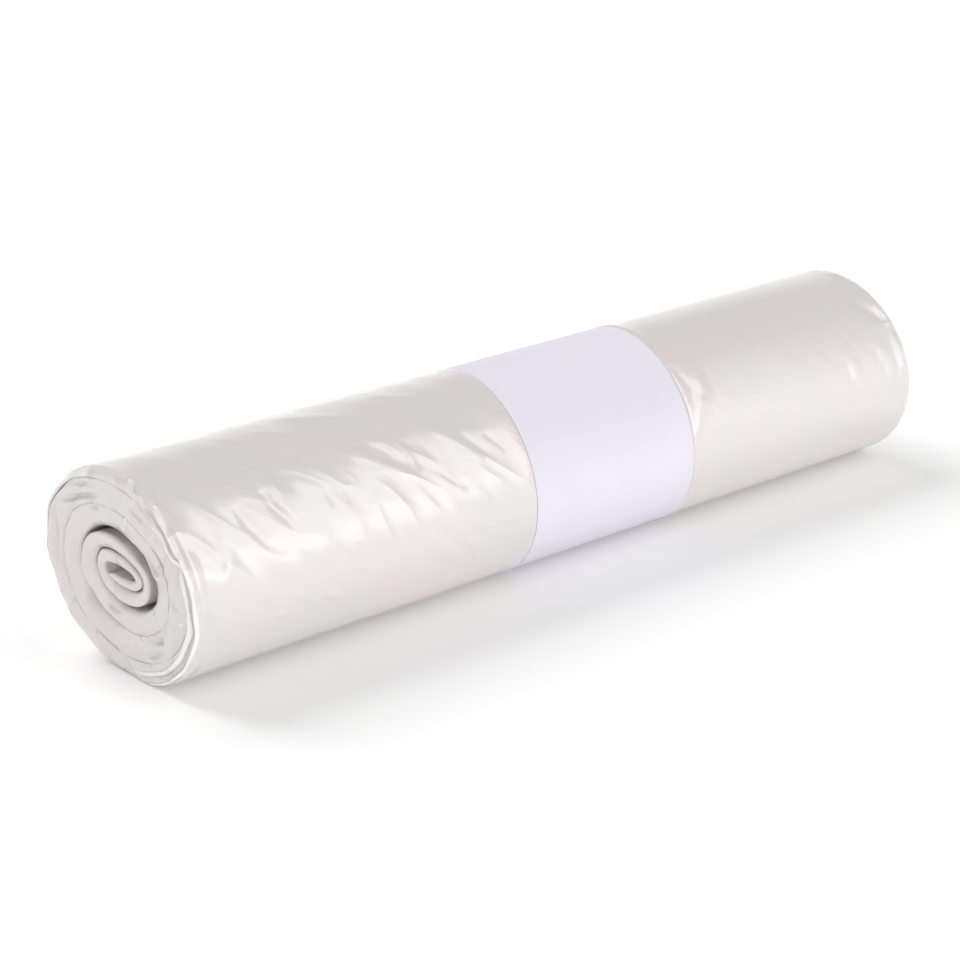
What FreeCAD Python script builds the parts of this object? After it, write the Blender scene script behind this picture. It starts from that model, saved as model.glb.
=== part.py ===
"""Roll of folded bin bags with a paper band, lying on its side. Millimetres, +Z up.

The roll lies along X on a small flat of its underside. The origin is on the surface that it
lies on, under the middle of its length and width. -X is the near end, whose turns show, and
-Y is the front.
"""
import FreeCAD, Part
import math
import os

V = FreeCAD.Vector

# Driving sizes: alias, value (millimetres, or degrees for an angle), what it is.
SIZES = [
    ("roll_length", 304.5, "along the axis, from tip to tip"),
    ("oval_long", 69.0, "longer way across the section"),
    ("oval_short", 61.2, "shorter way across the section"),
    ("oval_lean", 25.5, "angle by which the longer way rises towards the back"),
    ("flat_depth", 1.0, "depth by which the roll's weight flattens its underside"),
    ("turn_count", 5, "whole turns of the folded bags"),
    ("ease_turns", 2.2, "turns over which the winding grows from the eye to its full pitch"),
    ("eye_rise", 1.2, "half the height of the open eye at the middle"),
    ("eye_reach", 5.0, "half the width of the open eye"),
    ("eye_lean", 8.0, "angle by which the eye's longer way rises towards the back"),
    ("eye_offset", 2.2, "how far behind the section's middle the eye lies"),
    ("turn_gap", 0.4, "air between one turn and the next"),
    ("loose_gap", 2.2, "extra air where the second turn has come loose"),
    ("loose_place", 1.5, "turns from the eye to the middle of the loose stretch"),
    ("loose_span", 0.5, "half the loose stretch, in turns"),
    ("tail_thick", 1.3, "thickness at the free edge"),
    ("tail_span", 0.11, "turns over which the last turn rises over the edge below"),
    ("tail_angle", -30.0, "where the free edge lies, from the back, upwards"),
    ("near_lip", 3.4, "how far a turn's rounded lip swells at the near end"),
    ("near_step", 4.3, "how far the back of the near end stands out past its middle"),
    ("near_hollow", 2.0, "how far the eye lies back at the near end"),
    ("far_lip", 7.0, "how far a turn's rounded lip swells at the far end"),
    ("far_dome", 3.0, "how far the outer turn lies back at the far end"),
    ("band_width", 66.5, "width of the paper band"),
    ("band_thick", 0.2, "thickness of the paper"),
    ("band_fit", 0.05, "clearance between the paper and the film"),
    ("band_side_gap", 0.2, "clearance beside the paper"),
    ("band_place", 130.0, "from the middle of the near end to the band"),
    ("band_skew", 3.7, "angle by which the band sits out of square"),
    ("lap_angle", -5.0, "where the band's inner end lies, from the back, upwards"),
    ("lap_span", 24.0, "angle over which the band's two ends overlap"),
    ("lap_rise", 10.0, "angle over which the outer end climbs onto the inner one"),
    ("lap_glue", 0.04, "clearance between the overlapping ends"),
]
STATIONS_PER_TURN = 16
STRETCHES_PER_TURN = 4
FEWEST_STATIONS = 3
LIP_STEPS = 6
PAPER_STATION_ANGLE = 5.0
SEWING_TOLERANCE = 0.001
# Stations past each end of a stretch, which give its curves their direction there.
LEAD = 2
# Places of the waist's four corners among the corners of the last turn's outline.
WAIST = slice(1, 5)


def make_sheet(doc):
    """Put the driving sizes in a sheet, one row each."""
    sheet = doc.addObject("Spreadsheet::Sheet", "sizes")
    for row, (alias, value, meaning) in enumerate(SIZES, start=1):
        sheet.set(f"A{row}", alias)
        sheet.set(f"B{row}", str(value))
        sheet.set(f"C{row}", meaning)
        sheet.setAlias(f"B{row}", alias)
    doc.recompute()
    return sheet


def smooth(share):
    """Ease from 0 to 1 with no kink at either end."""
    share = min(1.0, max(0.0, share))
    return share * share * (3.0 - 2.0 * share)


def leaning_oval(half_long, half_short, lean, across):
    """Y and Z of an oval about its own middle, across radians on from its longer way."""
    wide = half_long * math.cos(across)
    high = half_short * math.sin(across)
    y = wide * math.cos(lean) - high * math.sin(lean)
    z = wide * math.sin(lean) + high * math.cos(lean)
    return y, z


class Section:
    """The roll's section: its oval skin, and the straight line inwards at each angle.

    Angles are in degrees, from the back upwards. The leaning oval is cut off level where the
    roll is flattened underneath, between the angles flat_from and flat_to.
    """

    def __init__(self, sizes):
        self.sizes = sizes
        self.lean = math.radians(sizes.oval_lean)
        self.half_long = sizes.oval_long / 2.0
        self.half_short = sizes.oval_short / 2.0
        rise_long = self.half_long * math.sin(self.lean)
        rise_short = self.half_short * math.cos(self.lean)
        self.rise = math.hypot(rise_long, rise_short)
        self.reach = math.hypot(
            self.half_long * math.cos(self.lean), self.half_short * math.sin(self.lean)
        )
        self.centre = self.rise - sizes.flat_depth
        lowest = 270.0 - math.degrees(math.atan2(rise_long, rise_short) - self.lean)
        half_flat = math.degrees(math.acos(self.centre / self.rise))
        self.flat_from = lowest - half_flat
        self.flat_to = lowest + half_flat

    def skin(self, angle, pressed):
        """Point of the roll's skin; pressed brings it down or up to the surface."""
        across = math.radians(angle) - self.lean
        y, z = leaning_oval(self.half_long, self.half_short, self.lean, across)
        return V(0, y, 0.0 if pressed else z + self.centre)

    def eye_rim(self, angle):
        """Point of the open eye's rim that faces the skin at this angle."""
        across = math.radians(angle) - self.lean
        lean = math.radians(self.sizes.eye_lean)
        y, z = leaning_oval(self.sizes.eye_reach, self.sizes.eye_rise, lean, across)
        return V(0, y + self.sizes.eye_offset, z + self.centre)

    def room(self, angle):
        """Distance from the round skin to the eye's rim, which the turns fill."""
        return (self.eye_rim(angle) - self.skin(angle, False)).Length

    def below(self, angle, depth, pressed):
        """Point at a depth under the skin, on the line towards the eye's rim."""
        skin = self.skin(angle, pressed)
        return skin + (self.eye_rim(angle) - skin).normalize() * depth


class Band:
    """Where the paper band lies: edges out of square, straight around the roll."""

    def __init__(self, sizes):
        self.near = sizes.near_step - sizes.roll_length / 2.0 + sizes.band_place
        self.far = self.near + sizes.band_width
        self.slope = math.tan(math.radians(sizes.band_skew))

    def edges(self, y, spare=0.0):
        """X of the near and far edge at Y, moved outwards by spare."""
        shift = self.slope * y
        return self.near + shift - spare, self.far + shift + spare


class Winding:
    """The bags as one folded strip, wound from the eye to its free edge."""

    def __init__(self, sizes, section, band):
        self.sizes = sizes
        self.section = section
        self.band = band
        mean_skin = (section.half_long + section.half_short) / 2.0
        mean_room = mean_skin - (sizes.eye_reach + sizes.eye_rise) / 2.0
        last_start = sizes.turn_count - 1
        self.full_thick = self.inner_depth(last_start, mean_room) - sizes.tail_thick - sizes.turn_gap

    def wound(self, turns):
        """Full pitches wound after so many turns; the first turns add less than one each."""
        return math.hypot(turns, self.sizes.ease_turns) - self.sizes.ease_turns

    def inner_depth(self, turns, room):
        """Depth of the film's inner wall: from the eye's rim to the free edge's thickness."""
        left = 1.0 - self.wound(turns) / self.wound(self.sizes.turn_count)
        return self.sizes.tail_thick + (room - self.sizes.tail_thick) * left

    def outer_depth(self, turns, room, in_last):
        """Depth of the film's outer wall; the last turn rises from the free edge to the skin."""
        sizes = self.sizes
        if in_last:
            risen = smooth((turns - (sizes.turn_count - 1)) / sizes.tail_span)
            return (sizes.tail_thick + sizes.turn_gap) * (1.0 - risen)
        loose = 1.0 - smooth(abs(turns - sizes.loose_place) / sizes.loose_span)
        return self.inner_depth(turns + 1, room) + sizes.turn_gap + sizes.loose_gap * loose

    def angle(self, turns):
        """Angle reached after so many turns; outwards, the film climbs the front and goes over."""
        return self.sizes.tail_angle + 360.0 * (self.sizes.turn_count - turns)

    def stretches(self):
        """Stretches of the winding: start and end in turns, on the flat or not, last turn or not.

        The last turn has the waist, and is in three: up to the flat underside, along it, and on
        to the free edge.
        """
        count = int(self.sizes.turn_count)
        down, up = (
            count - (edge - self.sizes.tail_angle) / 360.0
            for edge in (self.section.flat_to, self.section.flat_from)
        )
        parts = [part / STRETCHES_PER_TURN for part in range(STRETCHES_PER_TURN * (count - 1) + 1)]
        inner = [(start, end, False, False) for start, end in zip(parts, parts[1:])]
        last = [(count - 1, down, False, True), (down, up, True, True), (up, count, False, True)]
        return inner + last

    def outline(self, turns, pressed, in_last):
        """Corners of the film's outline across one place of the winding, all in one plane."""
        sizes = self.sizes
        angle = self.angle(turns)
        room = self.section.room(angle)
        outer_depth = 0.0 if pressed else self.outer_depth(turns, room, in_last)
        inner_depth = self.inner_depth(turns, room)
        outer = self.section.below(angle, outer_depth, pressed)
        inner = self.section.below(angle, inner_depth, False)
        middle = (outer + inner) / 2.0
        share = 1.0 - (outer_depth + inner_depth) / 2.0 / room
        fullness = min(1.0, (inner_depth - outer_depth) / self.full_thick)
        half = sizes.roll_length / 2.0
        slant = 1.0 - middle.y / (self.section.reach - self.full_thick / 2.0)
        near_tip = sizes.near_step * slant + sizes.near_hollow * (1.0 - share) - half
        far_tip = half - sizes.far_dome * share * share
        near = near_tip + sizes.near_lip * fullness
        far = far_tip - sizes.far_lip * fullness

        start, end = self.band.edges(outer.y, sizes.band_side_gap)
        corners = [V(near, outer.y, outer.z), V(start, outer.y, outer.z)]
        if in_last:
            floor_depth = outer_depth + sizes.band_thick + sizes.band_fit
            floor = self.section.below(angle, floor_depth, pressed)
            corners += [V(start, floor.y, floor.z), V(end, floor.y, floor.z)]
        corners += [V(end, outer.y, outer.z)]
        corners += lip(far, far_tip - far, outer, inner)
        corners += lip(near, near_tip - near, inner, outer)[:-1]
        return corners


def lip(wall_end, swell, start, end):
    """Points of a rounded lip, from the wall that passes start to the wall that passes end."""
    points = []
    for step in range(LIP_STEPS + 1):
        turned = math.pi * step / LIP_STEPS
        across = start + (end - start) * (1.0 - math.cos(turned)) / 2.0
        points.append(V(wall_end + swell * math.sin(turned), across.y, across.z))
    return points


def ruled_faces(outline, start, end, count):
    """Faces that an outline's corners sweep from start to end, through count even steps."""
    step = (end - start) / count
    stations = [start + step * index for index in range(-LEAD, count + 1 + LEAD)]
    outlines = [outline(station) for station in stations]
    edges = []
    for points in zip(*outlines):
        curve = Part.BSplineCurve()
        curve.interpolate(Points=list(points), Parameters=stations)
        curve.segment(start, end)
        edges.append(curve.toShape())
    return [strip_face(first, second) for first, second in zip(edges, loop_on(edges))]


def strip_face(first, second):
    """Face between two edges: a plane where both lie on the surface, and else a ruled one."""
    poles = first.Curve.getPoles() + second.Curve.getPoles()
    if max(abs(pole.z) for pole in poles) > SEWING_TOLERANCE:
        return Part.makeRuledSurface(first, second)
    ends = [Part.makeLine(a.Point, b.Point) for a, b in zip(first.Vertexes, second.Vertexes)]
    return Part.Face(Part.Wire([first, ends[1], second, ends[0]]))


def loop_on(items):
    """The same items, each moved on by one place, the first one last."""
    return items[1:] + items[:1]


def flat_face(corners):
    """Flat face inside a closed line of corners."""
    return Part.Face(Part.makePolygon(corners + corners[:1]))


def make_solid(faces):
    """One solid from the faces that close it."""
    skin = Part.makeCompound(faces)
    skin.sewShape(SEWING_TOLERANCE)
    solid = Part.makeSolid(skin.Shells[0])
    if solid.Volume < 0.0:
        solid.reverse()
    return solid


def bag_roll_shape(winding):
    """The wound bags, with a shallow waist in their last turn where the band sits."""
    faces = []
    for start, end, pressed, in_last in winding.stretches():
        count = max(FEWEST_STATIONS, round((end - start) * STATIONS_PER_TURN))
        faces += ruled_faces(
            lambda turns: winding.outline(turns, pressed, in_last), start, end, count
        )
    last = winding.sizes.turn_count
    waist_start = winding.outline(last - 1, False, True)[WAIST]
    faces.append(flat_face(winding.outline(0, False, False)))
    faces.append(flat_face(waist_start))
    faces.append(flat_face(winding.outline(last, False, True)))
    return make_solid(faces)


def paper_outline(sizes, section, band, angle, pressed):
    """Corners of the paper across one place of the band, all in one plane."""
    climb_end = sizes.lap_angle + 360.0
    climb = smooth((angle - climb_end + sizes.lap_rise) / sizes.lap_rise)
    lift = climb * (sizes.band_thick + sizes.lap_glue)
    outer = section.below(angle, -lift, pressed)
    inner = section.below(angle, sizes.band_thick - lift, pressed)
    near, far = band.edges(section.skin(angle, pressed).y)
    return [
        V(near, outer.y, outer.z),
        V(far, outer.y, outer.z),
        V(far, inner.y, inner.z),
        V(near, inner.y, inner.z),
    ]


def paper_band_shape(sizes, section, band):
    """The strip of paper once around the roll, its outer end glued over its inner one."""
    first = sizes.lap_angle
    last = sizes.lap_angle + 360.0 + sizes.lap_span
    stretches = [
        (first, section.flat_from, False),
        (section.flat_from, section.flat_to, True),
        (section.flat_to, last, False),
    ]
    faces = []
    for start, end, pressed in stretches:
        count = max(FEWEST_STATIONS, round((end - start) / PAPER_STATION_ANGLE))
        faces += ruled_faces(
            lambda angle: paper_outline(sizes, section, band, angle, pressed), start, end, count
        )
    faces.append(flat_face(paper_outline(sizes, section, band, first, False)))
    faces.append(flat_face(paper_outline(sizes, section, band, last, False)))
    return make_solid(faces)


def add_piece(doc, label, shape):
    """Add a piece where it lies, as a plain shape: no feature has walls that follow a formula."""
    piece = doc.addObject("Part::Feature", label)
    piece.Label = label
    piece.Shape = shape
    piece.Placement = FreeCAD.Placement()
    return piece


def check(doc, pieces):
    """Stop if an object failed or a piece isn't one valid solid."""
    for item in doc.Objects:
        if "Invalid" in item.State or "Error" in item.State:
            raise RuntimeError(f"{item.Name} failed: {item.State}")
    for piece in pieces:
        shape = piece.Shape
        if shape.isNull() or not shape.isValid() or len(shape.Solids) != 1:
            raise RuntimeError(f"{piece.Label} isn't one valid solid")


def main():
    """Build the two pieces, check them and write their files."""
    doc = FreeCAD.newDocument("bin_bag_roll")
    sizes = make_sheet(doc)
    section = Section(sizes)
    band = Band(sizes)
    winding = Winding(sizes, section, band)
    pieces = [
        add_piece(doc, "bag_roll", bag_roll_shape(winding)),
        add_piece(doc, "paper_band", paper_band_shape(sizes, section, band)),
    ]
    doc.recompute()
    check(doc, pieces)
    os.makedirs("parts", exist_ok=True)
    for piece in pieces:
        piece.Shape.exportStep(f"parts/{piece.Label}.step")
        print(piece.Label, round(piece.Shape.Volume / 1000.0, 2), "cm3", piece.Shape.BoundBox)


main()
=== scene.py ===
"""Dressed model of a roll of folded bin bags with a paper band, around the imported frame.

The roll lies along X on a small flat of its underside. -X is the near end, whose turns show,
-Y is the front and +Z is up. The sizes here are in millimetres and the angles in degrees;
meshes are turned into metres where they are made. A wall angle is 0 at the front, 90 at the
top and 180 at the back.
"""

import logging
import math
from dataclasses import dataclass, field
from enum import Enum
from functools import reduce
from typing import Iterable, Mapping, Sequence

import bpy
import numpy as np
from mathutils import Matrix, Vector


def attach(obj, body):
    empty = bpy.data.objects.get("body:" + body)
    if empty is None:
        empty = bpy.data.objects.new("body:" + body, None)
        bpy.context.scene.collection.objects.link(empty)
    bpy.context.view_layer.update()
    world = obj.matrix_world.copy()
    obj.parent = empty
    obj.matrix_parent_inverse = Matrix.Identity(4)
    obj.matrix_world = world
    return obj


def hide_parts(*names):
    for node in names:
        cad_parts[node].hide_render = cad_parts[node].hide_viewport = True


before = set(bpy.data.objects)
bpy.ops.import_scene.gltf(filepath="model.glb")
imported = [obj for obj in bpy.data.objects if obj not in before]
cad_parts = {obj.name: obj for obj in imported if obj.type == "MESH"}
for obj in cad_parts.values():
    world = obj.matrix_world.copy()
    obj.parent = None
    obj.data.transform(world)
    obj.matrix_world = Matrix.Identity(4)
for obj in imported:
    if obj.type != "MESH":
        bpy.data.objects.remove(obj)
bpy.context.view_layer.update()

LOG = logging.getLogger("bin_bag_roll")
MM = 0.001
ROOT = "root"
MEAN_RADIUS = 32.6
SHARP_ANGLE = 60.0
Pair = tuple[float, float]
Triple = tuple[float, float, float]
Colour = Triple
Array = np.ndarray
Socket = bpy.types.NodeSocket
Tree = bpy.types.NodeTree
Inputs = Mapping[str | int, Socket | float | tuple[float, ...]]


def smooth(share: Array | float) -> Array:
    """Ease from 0 to 1 with no kink at either end; a share past one counts as that end."""
    share = np.clip(share, 0.0, 1.0)
    return share * share * (3.0 - 2.0 * share)


def window(value: Array, low: float, high: float, edge: float) -> Array:
    """Mask that is 1 from low to high and fades to 0 over edge outside them."""
    return smooth((value - low) / edge + 1.0) * smooth((high - value) / edge + 1.0)


def arc(angle: Array | float) -> Array:
    """Arc round the roll at a wall angle."""
    return MEAN_RADIUS * np.radians(angle)


class Lattice:
    """Smooth seeded noise in two directions, about -1 to 1."""

    SIZE = 64
    GAIN = 1.5

    def __init__(self, seed: int) -> None:
        """Draw the lattice's slopes, from the seed on."""
        turns = np.random.default_rng(seed).uniform(0.0, 2.0 * math.pi, (self.SIZE, self.SIZE))
        self.slopes = np.stack([np.cos(turns), np.sin(turns)], axis=-1)

    def read(self, u: Array, v: Array, size: Pair) -> Array:
        """Noise at the places u, v.

        Args:
            u: First coordinate.
            v: Second coordinate.
            size: Size of the features along each.

        Returns:
            The noise there.
        """
        u, v = np.broadcast_arrays(u / size[0], v / size[1])
        column, row = np.floor(u).astype(int), np.floor(v).astype(int)
        across, along = u - column, v - row
        ease_across, ease_along = smooth(across), smooth(along)
        corners = []
        for right in (0, 1):
            for up in (0, 1):
                slope = self.slopes[(column + right) % self.SIZE, (row + up) % self.SIZE]
                corners.append(slope[..., 0] * (across - right) + slope[..., 1] * (along - up))
        left = corners[0] + (corners[1] - corners[0]) * ease_along
        right_side = corners[2] + (corners[3] - corners[2]) * ease_along
        return self.GAIN * (left + (right_side - left) * ease_across)

    def ridged(self, u: Array, v: Array, size: Pair) -> Array:
        """Noise at the places u, v whose ridges are sharp and reach 1."""
        return 1.0 - 2.0 * np.abs(self.read(u, v, size))


@dataclass(frozen=True)
class Stroke:
    """A crease or ridge along a line of points, which fades out towards its two ends."""

    points: tuple[Pair, ...]
    height: float
    width: float
    steep: float = 1.0

    def read(self, u: Array, v: Array) -> Array:
        """Height of the stroke at the places u, v, in millimetres.

        Args:
            u: First coordinate, in millimetres.
            v: Second coordinate, in millimetres.

        Returns:
            The height there; a steep above 1 makes the right-hand flank sharper.
        """
        corners = np.array(self.points, float)
        lengths = np.hypot(*(corners[1:] - corners[:-1]).T)
        whole = lengths.sum()
        best = np.full(np.shape(u), np.inf)
        height = np.zeros(np.shape(u))
        passed = 0.0
        for start, end, length in zip(corners[:-1], corners[1:], lengths):
            way = (end - start) / length
            along = np.clip((u - start[0]) * way[0] + (v - start[1]) * way[1], 0.0, length)
            off_u = u - start[0] - way[0] * along
            off_v = v - start[1] - way[1] * along
            side = np.where(way[0] * off_v - way[1] * off_u < 0.0, self.steep, 1.0)
            distance = np.hypot(off_u, off_v) * side
            share = (passed + along) / whole
            fade = np.sqrt(np.clip(4.0 * share * (1.0 - share), 0.0, 1.0))
            here = self.height * fade * np.exp(-((distance / self.width) ** 2))
            nearer = distance < best
            best = np.where(nearer, distance, best)
            height = np.where(nearer, here, height)
            passed += length
        return height


@dataclass(frozen=True)
class Oval:
    """Leaning oval in the roll's section."""

    half_long: float
    half_short: float
    lean: float
    y: float
    z: float

    def points(self, across: Array) -> Array:
        """Y and Z of the oval, across radians on from its longer way.

        Args:
            across: Places round the oval, in radians.

        Returns:
            One pair for each place.
        """
        lean = math.radians(self.lean)
        wide = self.half_long * np.cos(across)
        high = self.half_short * np.sin(across)
        y = self.y + wide * math.cos(lean) - high * math.sin(lean)
        z = self.z + wide * math.sin(lean) + high * math.cos(lean)
        return np.stack([y, z], axis=-1)


@dataclass(frozen=True)
class Section:
    """The roll's section: its oval skin, and the line inwards to the eye at each angle.

    Angles here are from the back upwards, as the winding counts them.
    """

    oval_long: float = 69.0
    oval_short: float = 61.2
    oval_lean: float = 25.5
    flat_depth: float = 1.0
    eye_reach: float = 5.0
    eye_rise: float = 1.2
    eye_lean: float = 8.0
    eye_offset: float = 2.2

    @property
    def centre(self) -> float:
        """Height of the section's middle above the surface.

        Returns:
            The height, in millimetres.
        """
        lean = math.radians(self.oval_lean)
        rise = math.hypot(
            self.oval_long / 2.0 * math.sin(lean), self.oval_short / 2.0 * math.cos(lean)
        )
        return rise - self.flat_depth

    @property
    def reach(self) -> float:
        """Half the section's width.

        Returns:
            The width, in millimetres.
        """
        lean = math.radians(self.oval_lean)
        return math.hypot(
            self.oval_long / 2.0 * math.cos(lean), self.oval_short / 2.0 * math.sin(lean)
        )

    def skin(self, angle: Array) -> Array:
        """Y and Z of the round skin.

        Args:
            angle: Places round the section, from the back upwards.

        Returns:
            One pair for each place.
        """
        oval = Oval(
            self.oval_long / 2.0, self.oval_short / 2.0, self.oval_lean, 0.0, self.centre
        )
        return oval.points(np.radians(angle - self.oval_lean))

    def eye_rim(self, angle: Array) -> Array:
        """Y and Z of the eye's rim that faces the skin at each angle."""
        oval = Oval(self.eye_reach, self.eye_rise, self.eye_lean, self.eye_offset, self.centre)
        return oval.points(np.radians(angle - self.oval_lean))

    def room(self, angle: Array) -> Array:
        """Distance from the skin to the eye's rim at each angle."""
        return np.linalg.norm(self.eye_rim(angle) - self.skin(angle), axis=-1)

    def outward(self, angle: Array) -> Array:
        """Unit direction from the eye's rim to the skin at each angle."""
        way = self.skin(angle) - self.eye_rim(angle)
        return way / np.linalg.norm(way, axis=-1, keepdims=True)

    def below(self, angle: Array, depth: Array | float) -> Array:
        """Y and Z at a depth under the skin, at each angle."""
        depth = np.broadcast_to(depth, np.shape(angle))
        return self.skin(angle) - self.outward(angle) * depth[..., None]


@dataclass(frozen=True)
class BandPlace:
    """Where the paper band lies: edges a little out of square, straight round the roll."""

    near: float = -17.95
    width: float = 66.5
    skew: float = 3.7

    def near_edge(self, y: Array) -> Array:
        """X of the band's near edge at Y."""
        return self.near + math.tan(math.radians(self.skew)) * y

    def far_edge(self, y: Array) -> Array:
        """X of the band's far edge at Y."""
        return self.near_edge(y) + self.width


def placed(x: Array, flat: Array) -> Array:
    """X, Y and Z of points, from their X and their pairs of Y and Z."""
    return np.concatenate([x[..., None], flat], axis=-1)


def grid_faces(rows: int, columns: int, first: int) -> Array:
    """Quads between the rows of closed loops.

    Args:
        rows: Number of loops.
        columns: Points in each loop.
        first: Number of the first loop's first point.

    Returns:
        Four point numbers for each quad.
    """
    row = np.arange(rows - 1)[:, None] * columns
    column = np.arange(columns)[None, :]
    after = (column + 1) % columns
    quads = np.stack(
        [row + column, row + after, row + columns + after, row + columns + column], axis=-1
    )
    return quads.reshape(-1, 4) + first


def show(name: str, data: bpy.types.ID) -> bpy.types.Object:
    """Put a mesh, a lamp or a camera in the scene.

    Args:
        name: Its name.
        data: The mesh, lamp or camera.

    Returns:
        Its object.
    """
    thing = bpy.data.objects.new(name, data)
    bpy.context.scene.collection.objects.link(thing)
    return thing


def make_mesh(
    name: str, points: Array, quads: Array, others: Sequence[Sequence[int]]
) -> bpy.types.Object:
    """Make an object from points in millimetres.

    Args:
        name: The piece's name.
        points: X, Y and Z of each point.
        quads: Four point numbers for each quad.
        others: Point numbers of the faces with another number of corners.

    Returns:
        The object, smooth shaded apart from its sharp corners.
    """
    mesh = bpy.data.meshes.new(name)
    faces = quads.tolist() + [list(face) for face in others]
    mesh.from_pydata((points * MM).tolist(), [], faces)
    mesh.validate()
    mesh.shade_smooth()
    mesh.set_sharp_from_angle(angle=math.radians(SHARP_ANGLE))
    return show(name, mesh)


# Creases of the outer turn, read off the photograph as x, wall angle: height, width, steepness.
WALL_STROKES = (
    (((-123, 47), (-122, 36), (-117, 24), (-110, 17)), -0.42, 1.7, 1.6),
    (((-112.5, 51), (-111, 40), (-107, 29)), -0.40, 1.5, 1.6),
    (((-101.5, 54), (-95, 43), (-94.5, 30)), 0.36, 2.2, 1.4),
    (((-78, 57), (-71, 44), (-60, 35)), 0.45, 2.4, 1.8),
    (((-73.5, 66), (-66, 55), (-62.5, 44)), 0.48, 1.8, 1.8),
    (((-60, 56), (-58, 41), (-49.5, 28), (-43, 20)), -0.50, 1.7, 1.7),
    (((-48.5, 59), (-44, 48), (-36.5, 33)), 0.42, 1.7, 1.7),
    (((-40.5, 51), (-34.5, 35)), -0.36, 1.5, 1.5),
    (((-32, 47), (-26.5, 34)), -0.36, 1.4, 1.5),
    (((-131, 40), (-130, 25), (-133, 12)), 0.30, 2, 1.4),
    (((-88, 100), (-72, 82), (-60, 70)), 0.32, 2.6, 1.3),
    (((-100, 92), (-86, 72)), 0.26, 2.2, 1.3),
    (((-120, 84), (-108, 66)), -0.26, 2.4, 1.3),
    (((-56, 96), (-38, 74)), 0.24, 2.4, 1.3),
    (((-118, -13), (-112, -17)), 0.30, 1.2, 1.6),
    (((-102, -9), (-94, -16)), 0.28, 1.3, 1.6),
    (((-100, 12), (-88, 2), (-76, -2)), -0.20, 2.6, 1.2),
    (((52, 50), (54.5, 38), (51, 22), (48.5, 12)), 0.60, 1.4, 1.7),
    (((56.5, 49), (57.5, 36), (53, 24)), 0.52, 1.2, 1.7),
    (((49, 55), (50.5, 44)), -0.34, 1.4, 1.4),
    (((125, 27), (126.5, 12)), 0.45, 1.1, 1.6),
    (((140, 30), (142.5, 16), (142, 4)), 0.50, 1.2, 1.6),
    (((139, 66), (144, 52), (149.5, 40)), -0.80, 2, 1.7),
)

# Folds of the near end as y, z: height towards the near side, width, steepness.
END_STROKES = (
    (((25.6, 47), (19.7, 49.2), (13.8, 51.5), (6.9, 53.5)), -1.5, 0.9, 1.5),
    (((20.7, 54), (13.8, 55), (7.9, 56.3)), -0.8, 0.8, 1.3),
    (((26.6, 47), (28, 40.2), (28.5, 32.3), (27.6, 25.4)), -1.3, 1.2, 1.3),
    (((-4, 46.1), (-7, 42.2)), 0.9, 1, 1.5),
    (((-10.4, 40.7), (-15.8, 35.3), (-20.3, 37.3)), 1.1, 1.1, 1.5),
    (((-5.5, 53), (-13.1, 49.7), (-17.7, 51)), 0.8, 0.9, 1.4),
    (((-8.9, 8.7), (-13, 10), (-17.7, 11.7)), -0.8, 1.2, 1.3),
    (((-13, 14), (-16.5, 15.2)), -1.4, 1, 1),
    (((8.4, 48.6), (11.5, 49.4)), -0.9, 0.8, 1),
    (((-23.6, 35.3), (-25.6, 40), (-26.6, 45.1)), -1, 1.2, 1.2),
    (((7, 19.5), (4, 18.4), (1, 18)), 0.7, 0.8, 1.3),
    (((20, 16), (25, 18)), 0.5, 0.9, 1.2),
)


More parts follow.
